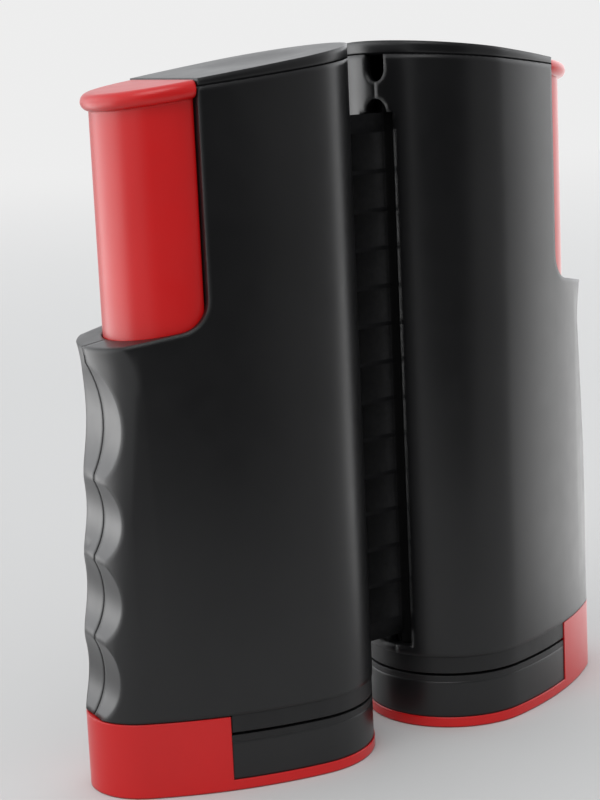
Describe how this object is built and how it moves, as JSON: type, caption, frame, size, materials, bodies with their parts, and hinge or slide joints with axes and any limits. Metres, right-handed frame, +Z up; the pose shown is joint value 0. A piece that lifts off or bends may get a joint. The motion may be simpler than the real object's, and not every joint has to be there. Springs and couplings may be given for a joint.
{
  "type": "table tennis net clamp",
  "caption": "Pair of spring clamp posts for a table tennis net: red push sliders open the padded jaws, and the net winds into a sprung reel inside one post.",
  "frame": {"origin": "on the floor under the left post's jaw foot, 40 mm from the post's inner end on its middle plane", "axes": "+X from the left post to the right post along the left post's length, +Y away from the picture's camera, +Z up"},
  "size_m": [0.1655, 0.0607, 0.1862],
  "materials": {
    "black_plastic": "satin moulded black plastic, fine grain",
    "red_plastic": "glossy moulded red plastic",
    "rubber": "matt black rubber",
    "steel": "zinc plated steel",
    "grey_plastic": "plain grey moulded plastic",
    "net": "black nylon net"
  },
  "bodies": {
    "left_post": {"left_front_shell": "black_plastic", "left_rear_shell": "black_plastic", "left_top_cap": "black_plastic", "left_shell_screws": "steel", "left_table_pad": "rubber", "left_jaw_spring": "steel", "left_spring_rod": "steel", "reel_axle": "steel", "rewind_spring": "steel", "spring_anchor": "grey_plastic"},
    "left_jaw": {"left_push_slider": "red_plastic", "left_jaw_foot": "red_plastic", "left_jaw_screws": "steel", "left_jaw_block": "black_plastic", "left_jaw_pad": "rubber"},
    "reel": {"reel_tube": "grey_plastic", "reel_top_plug": "grey_plastic", "reel_bottom_plug": "grey_plastic", "net_roll": "net"},
    "net_end": {"net_end_bar": "black_plastic", "net_span": "net"},
    "right_post": {"right_front_shell": "black_plastic", "right_rear_shell": "black_plastic", "right_top_cap": "black_plastic", "right_shell_screws": "steel", "right_table_pad": "rubber", "right_jaw_spring": "steel", "right_spring_rod": "steel"},
    "right_jaw": {"right_push_slider": "red_plastic", "right_jaw_foot": "red_plastic", "right_jaw_screws": "steel", "right_jaw_block": "black_plastic", "right_jaw_pad": "rubber"}
  },
  "joints": [
    {"name": "left_jaw_press", "type": "slide", "parent": "left_post", "child": "left_jaw", "axis": [0, 0, -1], "range_m": [0, 0.044], "stiffness_N_per_m": 600, "springref_m": -0.02, "deforming": ["left_jaw_spring"]},
    {"name": "net_pull", "type": "slide", "parent": "left_post", "child": "net_end", "axis": [1, 0, 0], "range_m": [0, 1.7], "stiffness_N_per_m": 3, "springref_m": -0.5, "deforming": ["net_span"]},
    {"name": "reel_spin", "type": "hinge", "parent": "left_post", "child": "reel", "pos_m": [0.016, 0, 0.0199], "axis": [0, 0, 1], "continuous": true},
    {"name": "right_turn", "type": "hinge", "parent": "net_end", "child": "right_post", "pos_m": [0.05727, 0.00168, 0.0199], "axis": [0, 0, 1], "range_deg": [-28, 20]},
    {"name": "right_jaw_press", "type": "slide", "parent": "right_post", "child": "right_jaw", "axis": [0, 0, -1], "range_m": [0, 0.044], "stiffness_N_per_m": 600, "springref_m": -0.02, "deforming": ["right_jaw_spring"]}
  ],
  "couplings": [
    {"joint": "reel_spin", "follows": "net_pull", "rad_per_m": 88.5}
  ]
}
